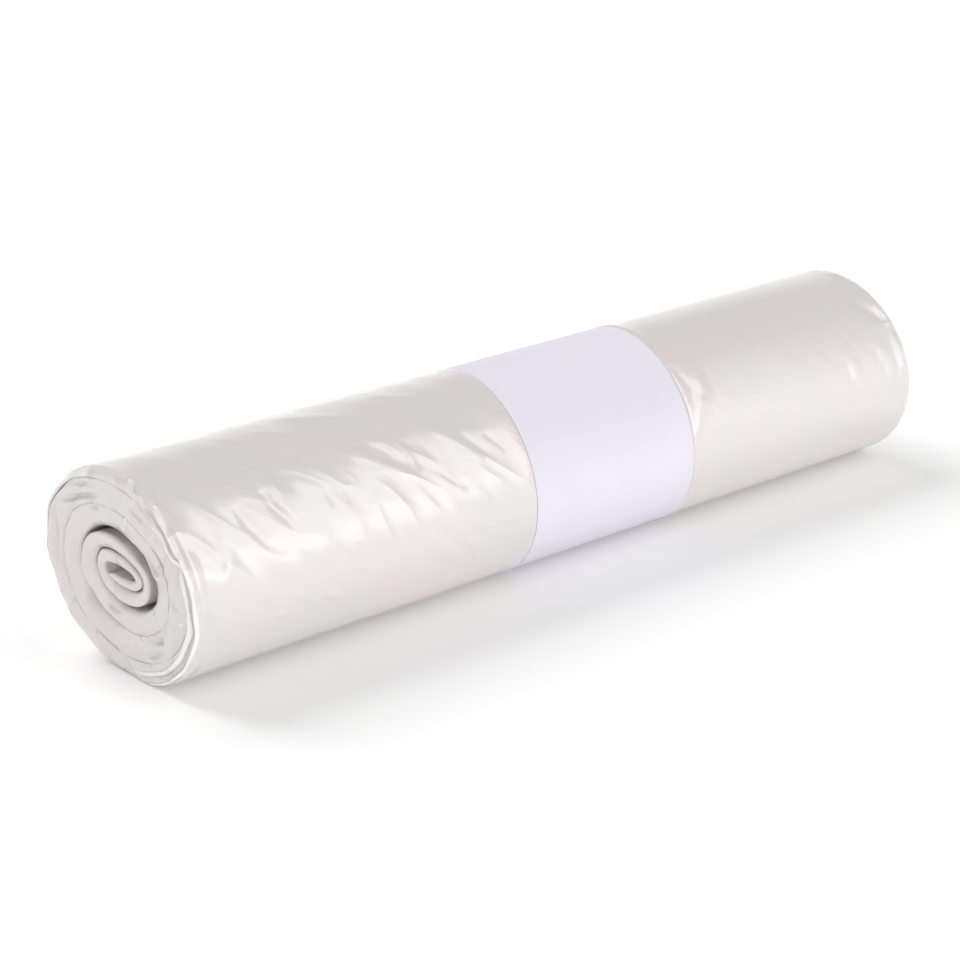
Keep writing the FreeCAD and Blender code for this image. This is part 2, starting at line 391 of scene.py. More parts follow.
@dataclass
class WallRelief:
    """Wrinkles of the outer turn: read creases, ridges that run askew, and a slow swell.

    Sizes are along and across, each lively or calm share is of the full height, and a place
    on the wall is its X and the arc round the roll.
    """

    slant: float = -52.0
    seed: int = 7
    ridge_size: Pair = (34.0, 10.5)
    ridge_height: float = 0.34
    crinkle_size: Pair = (15.0, 5.0)
    crinkle_height: float = 0.10
    far_size: Pair = (22.0, 14.0)
    far_height: float = 0.06
    slow_size: Pair = (46.0, 31.0)
    slow_start: float = 414.0
    slow_height: float = 0.22
    bend_size: Pair = (40.0, 40.0)
    bend: float = 6.0
    calm: float = 0.35
    lively_angles: Triple = (18.0, 66.0, 30.0)
    near_fade: float = 6.0
    near_calm: float = 20.0
    far_fade: float = 4.0
    pucker_size: Pair = (30.0, 3.4)
    pucker_height: float = 0.16
    near_pucker_share: float = 0.5
    near_pucker_reach: float = 4.0
    near_pucker_fade: float = 2.0
    far_pucker_reach: float = 5.0
    strokes: tuple[Stroke, ...] = field(init=False)

    def __post_init__(self) -> None:
        """Turn the read creases into strokes on the unrolled wall."""
        self.strokes = tuple(
            Stroke(tuple((x, arc(angle)) for x, angle in points), *shape)
            for points, *shape in WALL_STROKES
        )

    def read(self, x: Array, angle: Array, band: BandPlace, y: Array) -> Array:
        """Height of the wrinkles over the plain skin.

        Args:
            x: Place along the roll.
            angle: Wall angle there.
            band: Where the band lies.
            y: Y there, for the band's slanted edges.

        Returns:
            The height, in millimetres.
        """
        v = arc(angle)
        way = math.radians(self.slant)
        along = x * math.cos(way) + v * math.sin(way)
        across = -x * math.sin(way) + v * math.cos(way)
        folds, small, slow = (Lattice(self.seed + later) for later in range(3))
        before = band.near_edge(y) - x
        after = x - band.far_edge(y)
        left = smooth((before + self.near_calm) / (2.0 * self.near_calm))
        left = left * smooth(before / self.near_fade)
        right = smooth(after / self.far_fade)
        lively = self.calm + (1.0 - self.calm) * window(angle, *self.lively_angles)
        across = across + self.bend * slow.read(x, v, self.bend_size)
        ridges = self.ridge_height * folds.ridged(along, across, self.ridge_size)
        ridges += self.crinkle_height * small.ridged(along, across, self.crinkle_size)
        height = lively * left * ridges
        height += self.far_height * right * small.read(x, v, self.far_size)
        swell = self.slow_height * slow.read(x + self.slow_start, v, self.slow_size)
        height += swell * (self.calm + (1.0 - self.calm) * left)
        pucker = self.near_pucker_share * np.exp(-before / self.near_pucker_reach)
        pucker = pucker * smooth(before / self.near_pucker_fade)
        pucker = pucker + np.exp(-after / self.far_pucker_reach) * right
        height += self.pucker_height * pucker * small.read(x, v, self.pucker_size)
        for stroke in self.strokes:
            height += stroke.read(x, v)
        return height


@dataclass
class EndRelief:
    """Folds of the near end's lips, and the thin plies that part at its front rim."""

    seed: int = 21
    broad_size: Pair = (13.0, 11.0)
    broad_height: float = 0.8
    narrow_size: Pair = (4.5, 5.0)
    narrow_height: float = 0.3
    shut: float = -0.10
    patch_size: Pair = (11.0, 11.0)
    patch_share: float = 0.7
    core_middle: Pair = (1.5, 30.5)
    core_stretch: float = 1.15
    core_reach: float = 14.0
    core_fade: float = 5.0
    left_y: Triple = (24.0, 40.0, 5.0)
    left_z: Triple = (24.0, 50.0, 7.0)
    left_share: float = 0.6
    ply_depths: tuple[float, ...] = (0.9, 4.1)
    ply_height: float = 1.5
    ply_width: float = 0.9
    ply_angles: Triple = (-48.0, 52.0, 24.0)
    wander: float = 0.35
    wander_size: Pair = (25.0, 1.0)
    strokes: tuple[Stroke, ...] = field(init=False)

    def __post_init__(self) -> None:
        """Turn the read folds into strokes."""
        self.strokes = tuple(Stroke(*values) for values in END_STROKES)

    def folds(self, y: Array, z: Array) -> Array:
        """How far the folds stand out towards the near side.

        Args:
            y: Y on the near end.
            z: Z on the near end.

        Returns:
            The height, in millimetres.
        """
        height = self.broad_height * Lattice(self.seed).read(y, z, self.broad_size)
        height += self.narrow_height * Lattice(self.seed + 1).read(y, z, self.narrow_size)
        for stroke in self.strokes:
            height += stroke.read(y, z)
        return height

    def open(self, flat: Array) -> Array:
        """How open the crease between two turns is, from nearly shut to 1.

        Args:
            flat: Y and Z on the near end.

        Returns:
            The share of a full crease.
        """
        y, z = flat[..., 0], flat[..., 1]
        middle_y, middle_z = self.core_middle
        away = np.hypot((y - middle_y) / self.core_stretch, z - middle_z)
        core = 1.0 - smooth((away - self.core_reach) / self.core_fade)
        left = self.left_share * window(y, *self.left_y) * window(z, *self.left_z)
        patchy = self.patch_share * Lattice(self.seed + 3).read(y, z, self.patch_size)
        return np.clip(np.maximum(self.shut + patchy, np.maximum(core, left)), 0.0, 1.0)

    def plies(self, depth: Array, angle: Array) -> Array:
        """Ridges of the thin plies under the front rim.

        Args:
            depth: Distance under the skin.
            angle: Wall angle there.

        Returns:
            The height towards the near side, in millimetres.
        """
        wander = Lattice(self.seed + 2).read(angle, np.zeros_like(angle), self.wander_size)
        depth = depth - self.wander * wander
        height = sum(np.exp(-(((depth - ply) / self.ply_width) ** 2)) for ply in self.ply_depths)
        return self.ply_height * height * window(angle, *self.ply_angles)


@dataclass(frozen=True)
class Strip:
    """A run of the winding, and where the film's two walls lie at each place of it."""

    turns: Array
    angle: Array
    room: Array
    outer_depth: Array
    inner_depth: Array
    outer: Array
    inner: Array
    swell: Array
    last: bool

    @property
    def thick(self) -> Array:
        """The film's thickness at each place, as a column."""
        return (self.inner_depth - self.outer_depth)[:, None]

    @property
    def wall_angle(self) -> Array:
        """Wall angle at each place, as a column."""
        return (180.0 - self.angle)[:, None]


@dataclass
class FilmRoll:
    """All the bags, folded lengthwise and wound together from the eye to the free edge.

    A loose turn is given by its middle and half its span, in turns, and by its gap. The edge
    columns are distances from the band's edges, and the other columns shares of a width.
    """

    section: Section
    band: BandPlace
    length: float = 304.5
    turns: int = 5
    ease_turns: float = 2.2
    gap: float = 0.06
    loose: tuple[Triple, ...] = ((1.5, 0.5, 2.2), (0.92, 0.2, 1.5))
    tail_thick: float = 0.5
    tail_span: float = 0.11
    tail_angle: float = -30.0
    tail_fill: float = 0.012
    fill_reach: float = 3.0
    near_lip: float = 3.4
    lip_flatness: float = 0.45
    lip_crowding: float = 0.6
    lip_past: float = 0.06
    rim_fade: float = 0.5
    shoulder: float = 4.2
    front_sharpness: float = 0.7
    front_angles: Triple = (-62.0, 34.0, 34.0)
    near_step: float = 4.3
    near_hollow: float = 2.0
    far_shoulder: float = 5.5
    far_fall: float = 5.0
    far_reach: float = 2.2
    far_hollow: float = 1.5
    far_share: float = 0.5
    far_fade: float = 2.0
    waist: float = 0.25
    waist_gap: float = 0.18
    hold_past: float = 0.2
    hold_fade: float = 1.4
    edge_swell: float = 0.3
    swell_place: float = 1.6
    swell_width: float = 2.4
    swell_fade: float = 0.8
    inner_steps: int = 120
    last_steps: int = 288
    near_columns: int = 116
    far_columns: int = 54
    edge_columns: tuple[float, ...] = (6.0, 4.4, 3.1, 2.1, 1.3, 0.75, 0.4, 0.2, 0.06)
    under_columns: tuple[float, ...] = (0.02, 0.25, 0.5, 0.75, 0.98)
    plain_columns: tuple[float, ...] = (0.0, 0.015, 0.05, 0.5, 0.95, 0.985, 1.0)
    near_rows: int = 32
    far_rows: int = 14
    wall: WallRelief = field(default_factory=WallRelief)
    end: EndRelief = field(default_factory=EndRelief)

    def wound(self, turns: Array | float) -> Array:
        """Full pitches wound after so many turns."""
        return np.hypot(turns, self.ease_turns) - self.ease_turns

    def risen(self, turns: Array) -> Array:
        """How far the last turn has risen to the skin past the free edge, from 0 to 1."""
        return smooth((turns - (self.turns - 1)) / self.tail_span)

    def inner_depth(self, turns: Array, room: Array | float) -> Array:
        """Depth of the film's inner wall under the skin."""
        left = 1.0 - self.wound(turns) / self.wound(self.turns)
        return self.tail_thick + (room - self.tail_thick) * left

    def outer_depth(self, turns: Array, room: Array, last: bool) -> Array:
        """Depth of the film's outer wall under the skin.

        Args:
            turns: Places along the winding.
            room: Distance from the skin to the eye's rim there.
            last: Whether they are in the last turn.

        Returns:
            The depths.
        """
        if last:
            return (self.tail_thick + self.gap) * (1.0 - self.risen(turns))
        depth = self.inner_depth(turns + 1, room) + self.gap
        for middle, span, gap in self.loose:
            depth = depth + gap * (1.0 - smooth(np.abs(turns - middle) / span))
        return depth

    def full_thick(self) -> float:
        """Thickness of the last turn away from the free edge.

        Returns:
            The thickness, in millimetres.
        """
        skin = (self.section.oval_long + self.section.oval_short) / 4.0
        room = skin - (self.section.eye_reach + self.section.eye_rise) / 2.0
        return float(self.inner_depth(self.turns - 1, room)) - self.tail_thick - self.gap

    def strip(self, turns: Array, last: bool) -> Strip:
        """Find where the film's two walls lie.

        Args:
            turns: Places along the winding.
            last: Whether they are in the last turn.

        Returns:
            That run of the winding.
        """
        angle = self.tail_angle + 360.0 * (self.turns - turns)
        room = self.section.room(angle)
        outer_depth = self.outer_depth(turns, room, last)
        inner_depth = self.inner_depth(turns, room)
        outer = self.section.below(angle, outer_depth)
        inner = self.section.below(angle, inner_depth)
        if last:
            outer[:, 1] = np.maximum(outer[:, 1], 0.0)
        swell = self.near_lip * np.minimum(1.0, (inner_depth - outer_depth) / self.full_thick())
        return Strip(turns, angle, room, outer_depth, inner_depth, outer, inner, swell, last)

    def loops(self, turns: Array, last: bool) -> Array:
        """Closed outlines across the film, one at each place of the winding.

        Each goes along the outer wall from near to far, round the far lip, back along the
        inner wall and round the near lip.

        Args:
            turns: Places along the winding.
            last: Whether they are in the last turn.

        Returns:
            X, Y and Z of each outline's points.
        """
        strip = self.strip(turns, last)
        far_out, far_in, far_rim = self.far_rim(strip)
        near_in, near_out, near_rim = self.near_rim(strip)
        if last:
            outside = self.outer_wall(near_out, far_out, strip)
            self.ruffle(near_rim, strip, outside[:, 0])
        else:
            outside = self.plain_wall(near_out, far_out, strip.outer)
        inside = self.plain_wall(far_in, near_in, strip.inner)
        return np.concatenate([outside, far_rim, inside, near_rim], axis=1)

    def stand_past(self, across: Array, open_share: Array, strip: Strip) -> Array:
        """Spread shares of the thickness, where the crease is shut, past the walls."""
        past = 0.0 if strip.last else self.lip_past * (1.0 - open_share) / strip.thick
        return across + past * (2.0 * across - 1.0)

    def far_rim(self, strip: Strip) -> tuple[Array, Array, Array]:
        """Round the film's far lip, from its outer wall to its inner one.

        Args:
            strip: The run of the winding.

        Returns:
            X of the outer wall's end and of the inner wall's, and the lip's points.
        """
        swell = self.far_share * strip.swell
        open_in = self.end.open(strip.inner * (-1.0, 1.0))
        open_out = self.end.open(strip.outer * (-1.0, 1.0)) * (not strip.last)
        x_in = self.far_face(strip.inner_depth, strip.room) - swell * open_in
        x_out = self.far_face(strip.outer_depth, strip.room) - swell * open_out
        turned = math.pi * np.arange(1, self.far_rows + 1) / (self.far_rows + 1)
        across = (1.0 - np.cos(turned)) / 2.0
        open_share = np.where(across < 0.5, open_out[:, None], open_in[:, None])
        across = self.stand_past(across, open_share, strip)
        flat = strip.outer[:, None] + (strip.inner - strip.outer)[:, None] * across[..., None]
        inward = strip.thick * across
        x = self.far_face(strip.outer_depth[:, None] + inward, strip.room[:, None])
        x = x - swell[:, None] * open_share * (1.0 - np.sin(turned) ** self.lip_flatness)
        fold = self.far_share * self.end.folds(-flat[..., 0], flat[..., 1])
        x = x + fold * (smooth(inward / self.far_fade) if strip.last else 1.0)
        return x_out, x_in, placed(x, flat)

    def near_rim(self, strip: Strip) -> tuple[Array, Array, Array]:
        """Round the film's near lip, from its inner wall to its outer one.

        Args:
            strip: The run of the winding.

        Returns:
            X of the inner wall's end and of the outer wall's, and the lip's points.
        """
        open_in = self.end.open(strip.inner)
        open_out = self.end.open(strip.outer) * (not strip.last)
        crease_in, crease_out = strip.swell * open_in, strip.swell * open_out
        x_in = self.near_face(strip.inner, strip.inner_depth, strip.room) + crease_in
        x_out = self.near_face(strip.outer, strip.outer_depth, strip.room) + crease_out
        turned = math.pi * np.arange(1, self.near_rows + 1) / (self.near_rows + 1)
        across = ((1.0 - np.cos(turned)) / 2.0) ** self.lip_crowding
        open_share = np.where(across > 0.5, open_out[:, None], open_in[:, None])
        across = self.stand_past(across, open_share, strip)
        depth = strip.inner_depth[:, None] - strip.thick * across
        flat = strip.inner[:, None] + (strip.outer - strip.inner)[:, None] * across[..., None]
        crease = np.where(turned > math.pi / 2.0, crease_out[:, None], crease_in[:, None])
        x = self.near_face(flat, depth, strip.room[:, None])
        x = x + crease * (1.0 - np.sin(turned) ** self.lip_flatness)
        fold = self.end.folds(flat[..., 0], flat[..., 1])
        if strip.last:
            fold += self.end.plies(depth, np.broadcast_to(strip.wall_angle, depth.shape))
            fold *= smooth(depth / self.rim_fade)
        return x_in, x_out, placed(x - fold, flat)

    def near_face(self, flat: Array, depth: Array, room: Array) -> Array:
        """X of the near end's face, with its rounded shoulder.

        Args:
            flat: Y and Z there.
            depth: How far under the skin it lies.
            room: Distance from the skin to the eye's rim.

        Returns:
            X, in millimetres.
        """
        slant = 1.0 - flat[..., 0] / (self.section.reach - self.full_thick() / 2.0)
        angle = np.degrees(np.arctan2(flat[..., 1] - self.section.centre, -flat[..., 0]))
        soft = 1.0 - self.front_sharpness * window(angle, *self.front_angles)
        left = 1.0 - np.clip(depth / (self.shoulder * soft), 0.0, 1.0)
        fall = self.near_lip * soft * (1.0 - np.sqrt(1.0 - left * left))
        return fall + self.near_step * slant + self.near_hollow * depth / room - self.length / 2.0

    def far_face(self, depth: Array, room: Array) -> Array:
        """X of the far end's domed face, with its rounded shoulder.

        Args:
            depth: How far under the skin it lies.
            room: Distance from the skin to the eye's rim.

        Returns:
            X, in millimetres.
        """
        left = 1.0 - np.clip(depth / self.far_shoulder, 0.0, 1.0)
        fall = self.far_fall * (1.0 - np.sqrt(1.0 - left * left))
        return self.length / 2.0 + self.far_reach - self.far_hollow * depth / room - fall

    def ruffle(self, lip: Array, strip: Strip, corner: Array) -> None:
        """Carry the wall's wrinkles on over the last turn's near lip.

        Args:
            lip: The lip's points, which move.
            strip: The last turn.
            corner: The outer wall's first point at each place.
        """
        rows = lip.shape[1]
        share = smooth((np.arange(1, rows + 1) / (rows + 1) - 0.5) * 2.0)
        start = self.section.below(strip.angle, 0.0)
        start[:, 1] = np.maximum(start[:, 1], 0.0)
        moved = (corner[:, 1:] - start) * self.risen(strip.turns)[:, None]
        lip[..., 1:] += moved[:, None] * share[None, :, None]
        lip[..., 2] = np.maximum(lip[..., 2], 0.0)

    def plain_wall(self, start: Array, end: Array, flat: Array) -> Array:
        """Points along a wall that nothing shows, a few near its ends and one in its middle.

        Args:
            start: X where the wall starts.
            end: X where it ends.
            flat: Y and Z of the wall.

        Returns:
            X, Y and Z of each place's points.
        """
        x = start[:, None] + (end - start)[:, None] * np.array(self.plain_columns)
        return placed(x, np.broadcast_to(flat[:, None], (*x.shape, 2)))

    def outer_wall(self, near: Array, far: Array, strip: Strip) -> Array:
        """Points of the wall that shows, with its wrinkles and its waist under the band.

        Args:
            near: X of the wall's near end at each place.
            far: X of its far end.
            strip: The last turn.

        Returns:
            X, Y and Z of each place's points.
        """
        near, far, y = near[:, None], far[:, None], strip.outer[:, :1]
        start, end = self.band.near_edge(y), self.band.far_edge(y)
        edge = np.array(self.edge_columns)
        left = np.linspace(0.0, 1.0, self.near_columns - len(edge), endpoint=False)
        right = np.linspace(1.0, 0.0, self.far_columns - len(edge), endpoint=False)[::-1]
        x = np.concatenate(
            [
                near + (start - edge[0] - near) * left,
                start - edge,
                start + (end - start) * np.array(self.under_columns),
                end + edge[::-1],
                end + edge[0] + (far - end - edge[0]) * right,
            ],
            axis=1,
        )
        height = self.wall.read(x, np.broadcast_to(strip.wall_angle, x.shape), self.band, y)
        outside = np.maximum(start - x, x - end)
        height = height * smooth((outside + self.hold_past) / self.hold_fade)
        swell = self.edge_swell * smooth(outside / self.swell_fade)
        height += swell * np.exp(-(((outside - self.swell_place) / self.swell_width) ** 2))
        risen = self.risen(strip.turns)[:, None]
        hollow = (self.tail_thick + self.gap) * (1.0 - risen)
        filled = smooth((strip.turns - (self.turns - 1)) / self.tail_fill)[:, None]
        filled = filled * np.exp(-((outside.clip(0.0) / self.fill_reach) ** 2))
        waist = self.waist * (outside < self.waist_gap)
        height = height * risen + hollow * filled - waist
        out = self.section.outward(strip.angle)
        flat = strip.outer[:, None] + out[:, None] * height[..., None]
        flat[..., 1] = np.maximum(flat[..., 1], waist)
        return placed(x, flat)

    def seam(self, coarse: int, fine: int, size: int, added: int) -> list[list[int]]:
        """Faces between the last plain outline and the first with all the wall's points.

        Args:
            coarse: Number of the plain outline's first point.
            fine: Number of the full outline's first point.
            size: Points in the plain outline.
            added: How many more points the full outline has.

        Returns:
            Point numbers of each face.
        """
        spans = len(self.plain_columns) - 1
        marks = np.round(np.linspace(0, added + spans, spans + 1)).astype(int)
        faces = []
        for column in range(spans):
            back = range(marks[column + 1], marks[column] - 1, -1)
            faces.append([coarse + column, coarse + column + 1, *(fine + k for k in back)])
        for column in range(spans, size):
            after = (column + 1) % size
            ahead = fine + (after + added if after else 0)
            faces.append([coarse + column, coarse + after, ahead, fine + column + added])
        return faces

    def build(self) -> bpy.types.Object:
        """Make the roll's mesh, one closed shell from the eye to the free edge.

        Returns:
            The piece.
        """
        first = self.turns - 1
        inner = self.loops(np.arange(self.inner_steps * first) / self.inner_steps, False)
        last = self.loops(first + np.arange(self.last_steps + 1) / self.last_steps, True)
        points = np.concatenate([inner.reshape(-1, 3), last.reshape(-1, 3)])
        size, full = inner.shape[1], last.shape[1]
        count = inner.shape[0] * size
        quads = np.concatenate(
            [grid_faces(inner.shape[0], size, 0), grid_faces(last.shape[0], full, count)]
        )
        others = self.seam(count - size, count, size, full - size)
        others.append(list(range(size))[::-1])
        others.append([len(points) - full + k for k in range(full)])
        return make_mesh("film_roll", points, quads, others)


@dataclass
class PaperBand:
    """The strip of paper once round the roll, its outer end glued over its inner one."""

    section: Section
    band: BandPlace
    thick: float = 0.2
    lap_angle: float = -5.0
    lap_span: float = 24.0
    lap_rise: float = 10.0
    lap_glue: float = 0.04
    steps: int = 288
    columns: int = 30
    seed: int = 33
    ripple: float = 0.07
    ripple_size: Pair = (34.0, 22.0)
    ripple_fade: float = 8.0

    def build(self) -> bpy.types.Object:
        """Make the band's mesh.

        Returns:
            The piece.
        """
        climb_end = self.lap_angle + 360.0
        angle = np.linspace(self.lap_angle, climb_end + self.lap_span, self.steps)
        lift = smooth((angle - climb_end + self.lap_rise) / self.lap_rise)
        lift = lift * (self.thick + self.lap_glue)
        skin, out = self.section.skin(angle), self.section.outward(angle)
        y = skin[:, :1]
        near, far = self.band.near_edge(y), self.band.far_edge(y)
        x = near + (far - near) * np.linspace(0.0, 1.0, self.columns)
        free = smooth((angle - self.lap_angle - self.lap_span) / self.ripple_fade)
        free = free * smooth((climb_end - self.lap_rise - angle) / self.ripple_fade)
        slow = Lattice(self.seed).read(x, arc(angle)[:, None], self.ripple_size)
        swell = self.ripple * (0.5 + 0.5 * slow) * free[:, None]
        faces = []
        for depth in (0.0, self.thick):
            height = lift[:, None] - depth + swell
            flat = skin[:, None] + out[:, None] * height[..., None]
            flat[..., 1] = np.maximum(flat[..., 1], depth)
            faces.append(placed(x, flat))
        loops = np.concatenate([faces[0], faces[1][:, ::-1]], axis=1)
        size, count = loops.shape[1], loops.shape[0] * loops.shape[1]
        ends = [list(range(size)), [count - 1 - k for k in range(size)]]
        quads = grid_faces(self.steps, size, 0)[:, ::-1]
        return make_mesh("paper_wrap", loops.reshape(-1, 3), quads, ends)


class Carries(Enum):
    """What a group's socket carries."""

    NUMBER = "NodeSocketFloat"
    VECTOR = "NodeSocketVector"
    COLOUR = "NodeSocketColor"


class Effect(Enum):
    """Shader node groups that more than one finish uses."""

    MOTTLE = "slow mottle"
    GRAIN = "fine grain"
    CRINKLE = "slanted crinkle"
    # Painted highlights on the near end's ply ridges and its glints, laid on as a pale colour.
    PLY_HIGHLIGHTS = "pale plies"


@dataclass(frozen=True)
class Fade:
    """An ease from one level to another, between two values of what it reads."""

    start: float
    end: float
    before: float
    after: float


class Graph:
    """Adds shader nodes to a tree, and feeds each as it is added."""

    def __init__(self, tree: Tree) -> None:
        """Take the tree that the nodes go in."""
        self.tree = tree

    def feed(self, node: bpy.types.Node, inputs: Inputs) -> None:
        """Link or set a node's inputs.

        Args:
            node: The node.
            inputs: The socket or the value that each input gets, by its name or number.
        """
        for name, given in inputs.items():
            if isinstance(given, Socket):
                self.tree.links.new(given, node.inputs[name])
            else:
                node.inputs[name].default_value = given

    def add(self, kind: str, inputs: Inputs, **settings: object) -> bpy.types.Node:
        """Add a shader node.

        Args:
            kind: Its type, without the part that all shader nodes share.
            inputs: The socket or the value that each input gets.
            settings: Its options, which are set before its inputs.

        Returns:
            The node.
        """
        node = self.tree.nodes.new("ShaderNode" + kind)
        for name, value in settings.items():
            setattr(node, name, value)
        self.feed(node, inputs)
        return node

    def place(self) -> Socket:
        """Place on the piece, in metres."""
        return self.add("TexCoord", {}).outputs["Object"]

    def math(self, operation: str, first: Socket, second: Socket | float = 0.0) -> Socket:
        """Result of a Math node, which may need only its first value."""
        return self.add("Math", {0: first, 1: second}, operation=operation).outputs["Value"]

    def vector(self, operation: str, first: Socket, second: Socket) -> Socket:
        """Resulting vector of a Vector Math node."""
        return self.add("VectorMath", {0: first, 1: second}, operation=operation).outputs[0]

    def parts(self, vector: Socket) -> list[Socket]:
        """X, Y and Z of a vector."""
        return list(self.add("SeparateXYZ", {"Vector": vector}).outputs)

    def joined(self, x: Socket, y: Socket) -> Socket:
        """Vector with this X and Y, and no Z."""
        return self.add("CombineXYZ", {"X": x, "Y": y}).outputs["Vector"]

    def fade(self, source: Socket, fade: Fade) -> Socket:
        """Ease from one level to another.

        Args:
            source: What is read.
            fade: Where the ease lies, and its two levels.

        Returns:
            The level.
        """
        inputs = {
            "Value": source,
            "From Min": fade.start,
            "From Max": fade.end,
            "To Min": fade.before,
            "To Max": fade.after,
        }
        return self.add("MapRange", inputs, interpolation_type="SMOOTHSTEP").outputs["Result"]

    def product(self, values: Iterable[Socket]) -> Socket:
        """Product of all the values."""
        return reduce(lambda first, second: self.math("MULTIPLY", first, second), values)

    def noise(self, place: Socket, scale: Socket | float, shape: Inputs) -> Socket:
        """Value of slow noise, read at a place; shape holds its other inputs."""
        return self.add("TexNoise", {"Vector": place, "Scale": scale, **shape}).outputs["Fac"]

    def ridges(self, place: Socket, size: Socket) -> Socket:
        """Add sharp-edged noise in two directions.

        Args:
            place: Where it is read.
            size: Size of its features along each direction.

        Returns:
            Its height.
        """
        inputs = {"Scale": 1.0, "Detail": 1.0, "Roughness": 0.4, "Offset": 0.9, "Distortion": 0.3}
        node = self.add(
            "TexNoise", {},
            noise_dimensions="2D", noise_type="RIDGED_MULTIFRACTAL", normalize=False,
        )
        self.feed(node, {"Vector": self.vector("DIVIDE", place, size), **inputs})
        return node.outputs["Fac"]


class Group(Graph):
    """A node group in the making, with its named inputs and its one output."""

    def __init__(
        self, effect: Effect, inputs: Mapping[str, Carries], output: str, carries: Carries
    ) -> None:
        """Make the group with its sockets.

        Args:
            effect: Which effect the group is.
            inputs: What each input carries, by its name.
            output: The output's name.
            carries: What the output carries.
        """
        super().__init__(bpy.data.node_groups.new(effect.value, "ShaderNodeTree"))
        sockets = self.tree.interface
        for name, carried in inputs.items():
            sockets.new_socket(name, in_out="INPUT", socket_type=carried.value)
        sockets.new_socket(output, in_out="OUTPUT", socket_type=carries.value)
        self.given = self.tree.nodes.new("NodeGroupInput")
        self.made = self.tree.nodes.new("NodeGroupOutput")

    def take(self, name: str) -> Socket:
        """What the group is given under a name."""
        return self.given.outputs[name]

    def give(self, result: Socket) -> Tree:
        """Put the result out, and return the finished group."""
        self.tree.links.new(result, self.made.inputs[0])
        return self.tree


